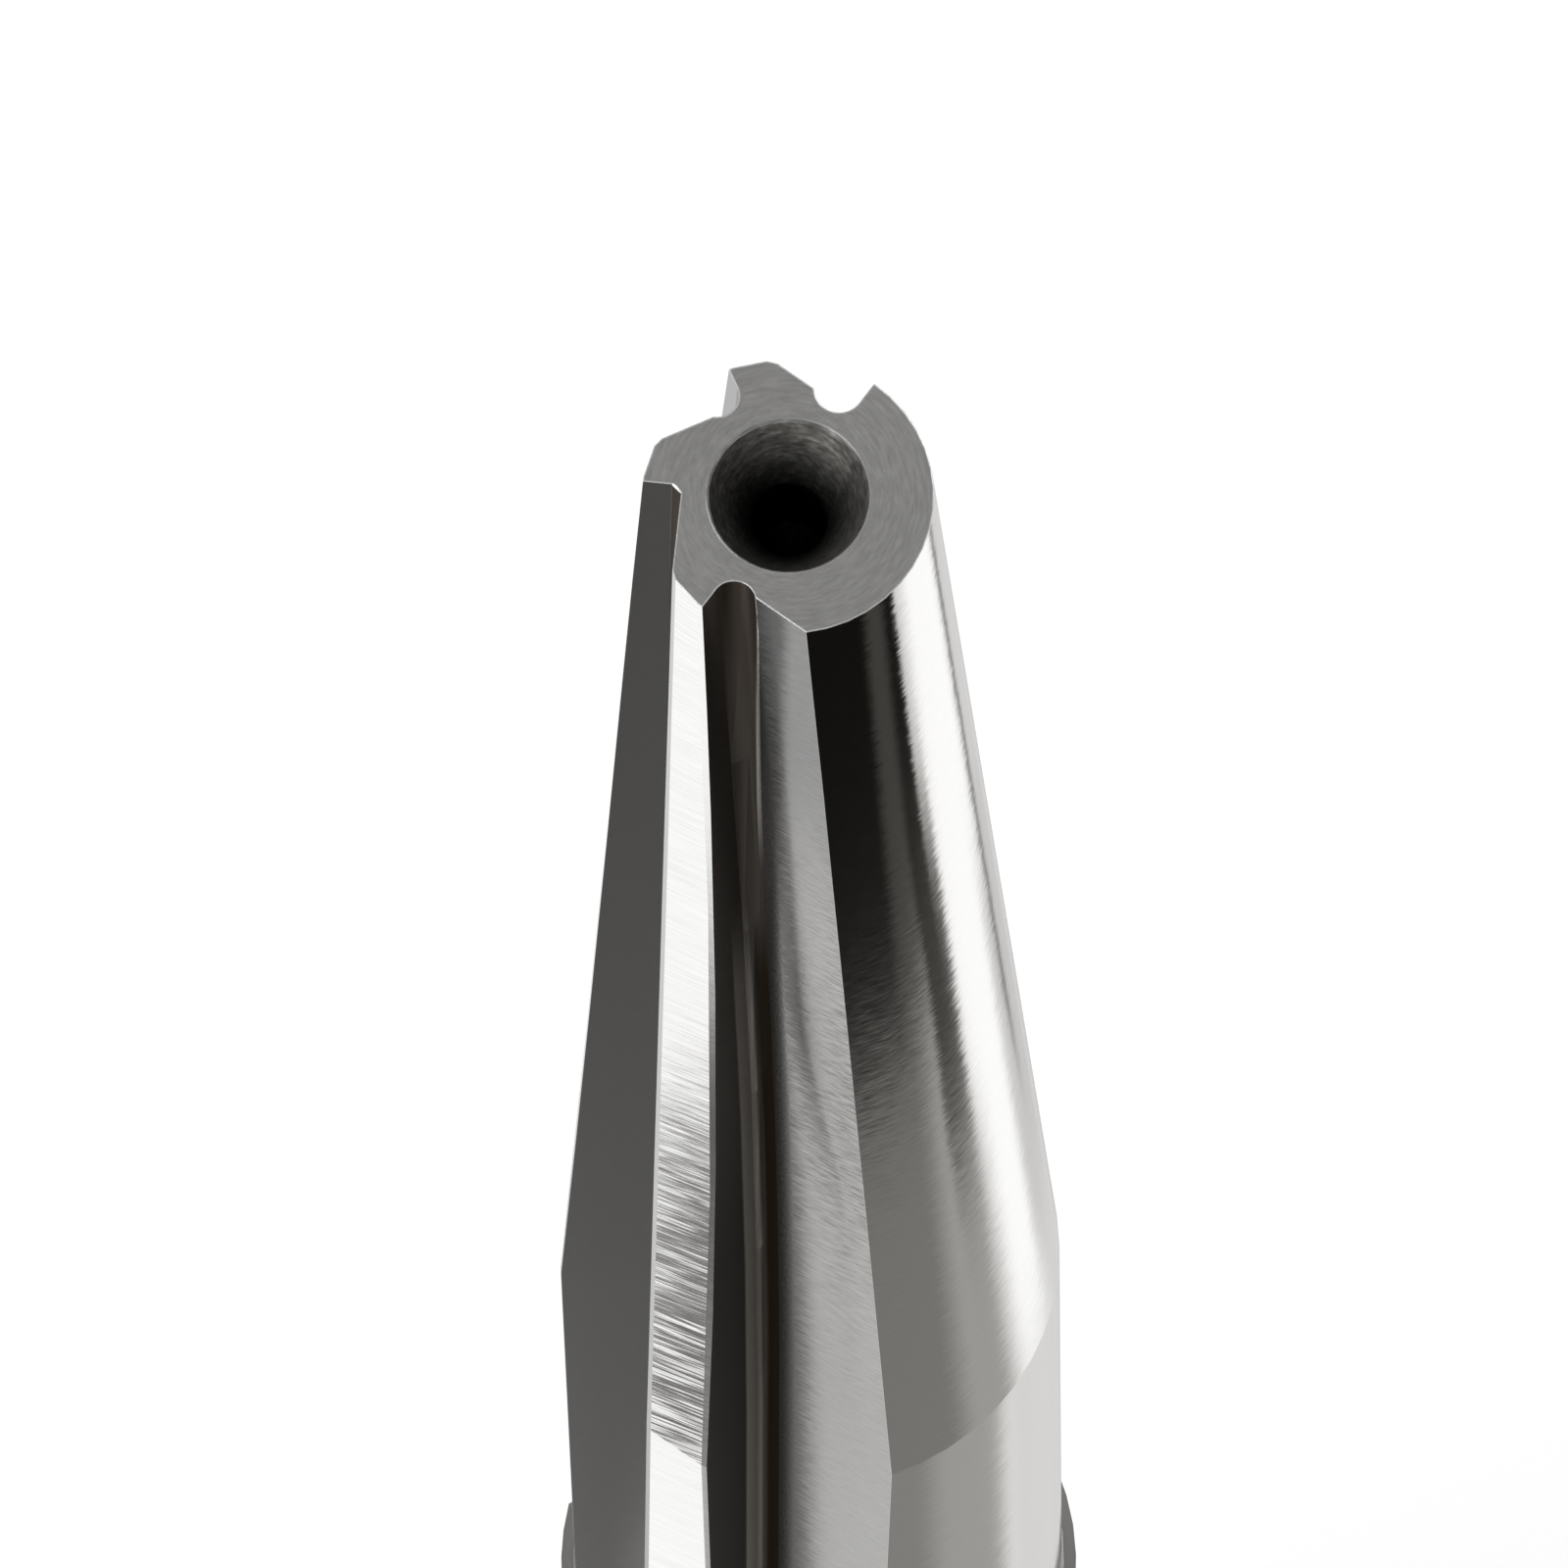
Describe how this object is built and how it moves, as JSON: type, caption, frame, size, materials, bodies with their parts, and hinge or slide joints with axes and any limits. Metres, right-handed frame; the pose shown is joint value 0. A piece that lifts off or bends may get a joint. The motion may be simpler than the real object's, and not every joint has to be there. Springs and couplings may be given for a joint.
{
  "type": "endpin reamer",
  "caption": "Fluted steel taper hand reamer with a broad round guide side, a parallel sizing part, a plain round shank and a square driving end.",
  "frame": {"origin": "centre of the flat driving end that the reamer stands on", "axes": "+Z along the reamer's axis towards its small cutting end; +X square to one flat of the driving square"},
  "size_m": [0.0126, 0.0126, 0.127],
  "materials": {
    "ground_tool_steel": "ground tool steel, bright lands and guide with fine brush marks, darker flutes and turned end faces"
  },
  "bodies": {
    "root": {"reamer": "ground_tool_steel"}
  },
  "joints": []
}
